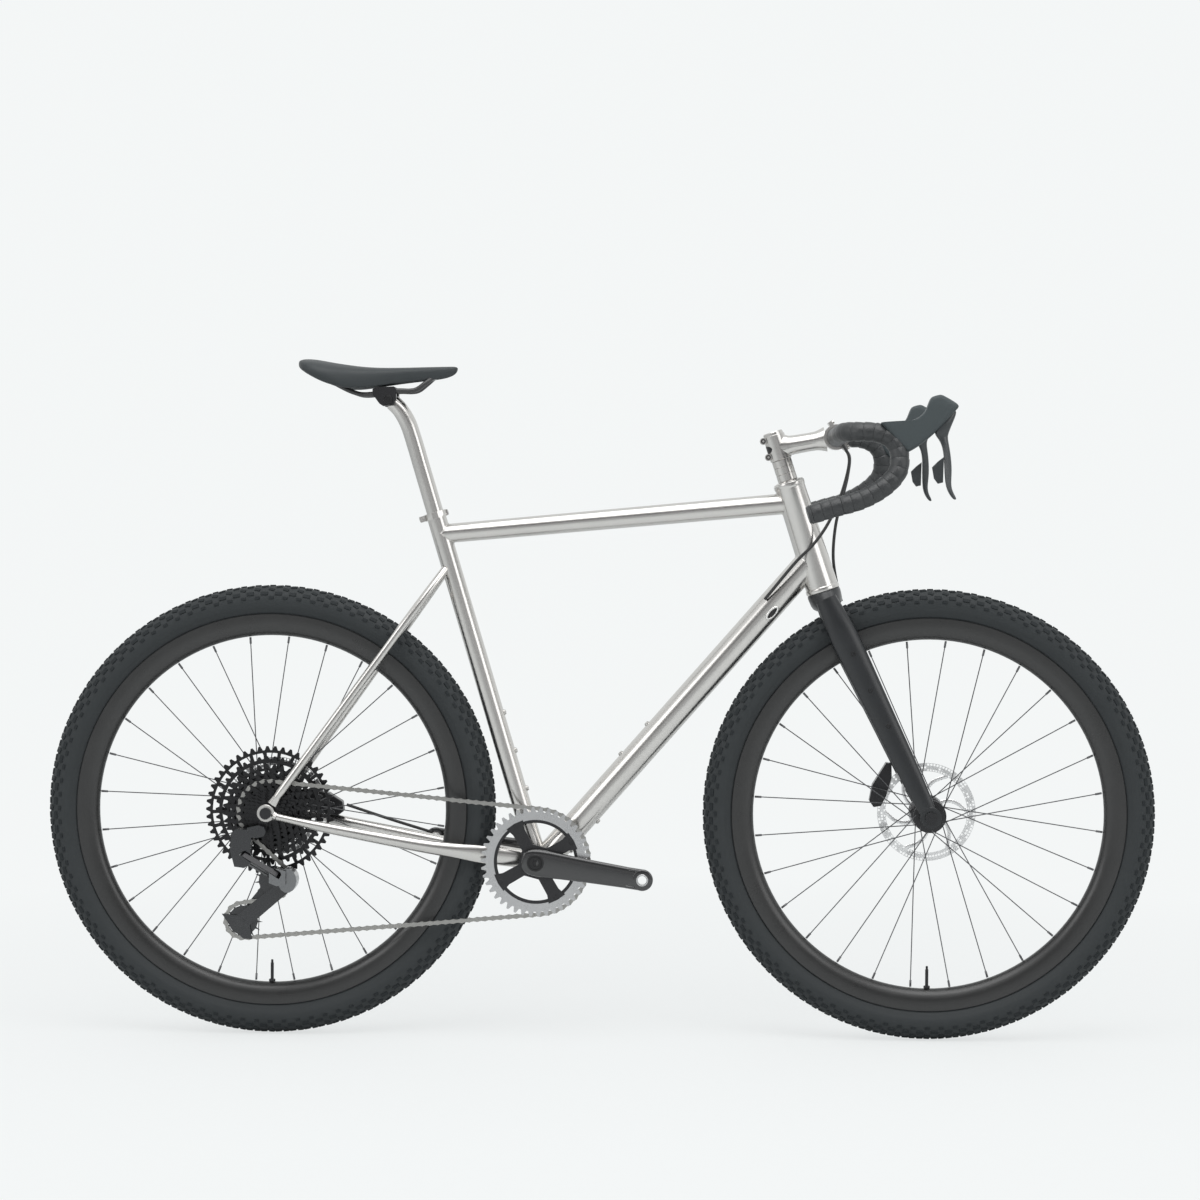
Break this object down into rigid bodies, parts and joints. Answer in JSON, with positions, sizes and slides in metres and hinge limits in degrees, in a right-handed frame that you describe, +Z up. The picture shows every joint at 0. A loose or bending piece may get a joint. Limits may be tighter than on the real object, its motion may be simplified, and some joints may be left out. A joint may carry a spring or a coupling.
{
  "type": "gravel bicycle",
  "caption": "Gravel bicycle with a bare metal frame, carbon fork, drop bars, disc brakes and a chain-driven rear wheel, to stand, steer, pedal and shift.",
  "frame": {"origin": "on the ground, under the middle of the wheelbase, in the bicycle's middle plane", "axes": "+X towards the front wheel, +Y to the rider's left, +Z up; the chain is on the -Y side"},
  "size_m": [1.7846, 0.5136, 1.09],
  "materials": {
    "titanium": "brushed bare titanium",
    "carbon": "dark carbon lay-up, satin",
    "black_metal": "black anodised",
    "steel": "ground stainless steel",
    "chain_steel": "grey plated steel",
    "black_steel": "black coated steel",
    "silver_alloy": "polished grey alloy",
    "tyre_rubber": "matte black tread rubber",
    "tape": "matte black lapped tape",
    "hood_rubber": "matte black grip rubber",
    "hose": "black hose jacket",
    "composite": "gloss black composite",
    "saddle_cover": "matte black cover"
  },
  "bodies": {
    "frame": {"head_tube": "titanium", "headset_upper_bearing": "black_metal", "headset_lower_bearing": "black_metal", "top_tube": "titanium", "down_tube": "titanium", "seat_tube": "titanium", "bottom_bracket_shell": "titanium", "bottom_bracket": "black_metal", "chainstay_left": "titanium", "chainstay_right": "titanium", "seatstays": "titanium", "derailleur_hanger": "black_metal", "derailleur_b_knuckle": "composite", "seat_clamp": "black_metal", "rear_axle": "black_metal", "rear_caliper": "black_metal", "rear_brake_hose": "hose", "rear_brake_hose_tail": "hose", "hose_port": "black_metal", "chain": "chain_steel"},
    "steering": {"fork": "carbon", "headset_spacers": "titanium", "stem": "titanium", "stem_faceplate": "titanium", "handlebar": "black_metal", "bar_tape_left": "tape", "bar_tape_right": "tape", "hood_left": "hood_rubber", "hood_right": "hood_rubber", "front_brake_hose": "hose", "front_caliper": "black_metal", "front_axle": "black_metal"},
    "front_wheel": {"front_tyre": "tyre_rubber", "front_rim": "carbon", "front_hub": "black_metal", "front_rotor": "steel"},
    "rear_wheel": {"rear_tyre": "tyre_rubber", "rear_rim": "carbon", "rear_hub": "black_metal", "rear_spokes": "black_metal", "rear_rotor": "steel"},
    "cassette": {"cassette": "black_steel"},
    "crank": {"crank_arm_left": "carbon", "crank_arm_right": "carbon", "spider": "black_metal", "chainring": "silver_alloy"},
    "lever_left": {"brake_lever_left": "black_metal"},
    "lever_right": {"brake_lever_right": "black_metal"},
    "paddle_left": {"shift_paddle_left": "composite"},
    "paddle_right": {"shift_paddle_right": "composite"},
    "seatpost": {"seatpost": "titanium"},
    "saddle": {"saddle": "saddle_cover", "saddle_rails": "carbon", "saddle_clamp": "black_metal"},
    "outer_link": {"derailleur_outer_link": "silver_alloy"},
    "inner_link": {"derailleur_inner_link": "silver_alloy"},
    "p_knuckle": {"derailleur_p_knuckle": "silver_alloy"},
    "cage": {"derailleur_cage": "composite"},
    "guide_pulley": {"derailleur_guide_pulley": "composite"},
    "tension_pulley": {"derailleur_tension_pulley": "composite"}
  },
  "joints": [
    {"name": "steering_turn", "type": "hinge", "parent": "frame", "child": "steering", "pos_m": [0.35825, 0, 0.7204], "axis": [-0.3107, 0, 0.9505], "range_deg": [-60, 60], "deforming": ["rear_brake_hose"]},
    {"name": "front_wheel_spin", "type": "hinge", "parent": "steering", "child": "front_wheel", "pos_m": [0.52925, 0, 0.363], "axis": [0, 1, 0], "continuous": true},
    {"name": "rear_wheel_spin", "type": "hinge", "parent": "frame", "child": "rear_wheel", "pos_m": [-0.52925, 0, 0.363], "axis": [0, 1, 0], "continuous": true},
    {"name": "crank_spin", "type": "hinge", "parent": "frame", "child": "crank", "pos_m": [-0.0995, 0, 0.286], "axis": [0, 1, 0], "continuous": true, "deforming": ["chain"]},
    {"name": "cassette_spin", "type": "hinge", "parent": "frame", "child": "cassette", "pos_m": [-0.52925, 0, 0.363], "axis": [0, 1, 0], "continuous": true},
    {"name": "lever_left_pull", "type": "hinge", "parent": "steering", "child": "lever_left", "pos_m": [0.53988, 0.212, 0.97979], "axis": [0, 1, 0], "range_deg": [0, 22], "stiffness_Nm_per_rad": 3, "springref_deg": -11.46},
    {"name": "lever_right_pull", "type": "hinge", "parent": "steering", "child": "lever_right", "pos_m": [0.53988, -0.212, 0.97979], "axis": [0, 1, 0], "range_deg": [0, 22], "stiffness_Nm_per_rad": 3, "springref_deg": -11.46},
    {"name": "paddle_left_push", "type": "hinge", "parent": "lever_left", "child": "paddle_left", "pos_m": [0.53088, 0.229, 0.91378], "axis": [0, 0, 1], "range_deg": [0, 8], "stiffness_Nm_per_rad": 0.5, "springref_deg": -17.19},
    {"name": "paddle_right_push", "type": "hinge", "parent": "lever_right", "child": "paddle_right", "pos_m": [0.53088, -0.229, 0.91378], "axis": [0, 0, -1], "range_deg": [0, 8], "stiffness_Nm_per_rad": 0.5, "springref_deg": -17.19},
    {"name": "seatpost_height", "type": "slide", "parent": "frame", "child": "seatpost", "axis": [-0.2882, 0, 0.9576], "range_m": [-0.1, 0.03]},
    {"name": "saddle_tilt", "type": "hinge", "parent": "seatpost", "child": "saddle", "pos_m": [-0.34104, 0, 1.02396], "axis": [0, 1, 0], "range_deg": [-6, 6]},
    {"name": "derailleur_outer_link_swing", "type": "hinge", "parent": "frame", "child": "outer_link", "pos_m": [-0.56325, -0.08708, 0.29656], "axis": [0.4667, 0.5073, 0.7245], "range_deg": [-24, 20]},
    {"name": "derailleur_inner_link_swing", "type": "hinge", "parent": "frame", "child": "inner_link", "pos_m": [-0.56325, -0.07692, 0.28944], "axis": [0.4667, 0.5073, 0.7245], "range_deg": [-24, 20]},
    {"name": "derailleur_knuckle_level", "type": "hinge", "parent": "outer_link", "child": "p_knuckle", "pos_m": [-0.51125, -0.09208, 0.26656], "axis": [0.4667, 0.5073, 0.7245], "range_deg": [-20, 24]},
    {"name": "cage_swing", "type": "hinge", "parent": "p_knuckle", "child": "cage", "pos_m": [-0.49425, -0.0437, 0.25], "axis": [0, -1, 0], "range_deg": [-42.06, 35.1]},
    {"name": "guide_pulley_spin", "type": "hinge", "parent": "cage", "child": "guide_pulley", "pos_m": [-0.5213, -0.0437, 0.25171], "axis": [0, 1, 0], "continuous": true},
    {"name": "tension_pulley_spin", "type": "hinge", "parent": "cage", "child": "tension_pulley", "pos_m": [-0.57021, -0.0437, 0.18698], "axis": [0, 1, 0], "continuous": true}
  ],
  "couplings": [
    {"joint": "cassette_spin", "follows": "crank_spin", "ratio": 1.75},
    {"joint": "guide_pulley_spin", "follows": "crank_spin", "ratio": -3},
    {"joint": "tension_pulley_spin", "follows": "crank_spin", "ratio": 3},
    {"joint": "derailleur_inner_link_swing", "follows": "derailleur_outer_link_swing", "ratio": 1},
    {"joint": "derailleur_knuckle_level", "follows": "derailleur_outer_link_swing", "ratio": -1},
    {"joint": "cage_swing", "follows": "derailleur_outer_link_swing", "ratio": 1.74}
  ]
}
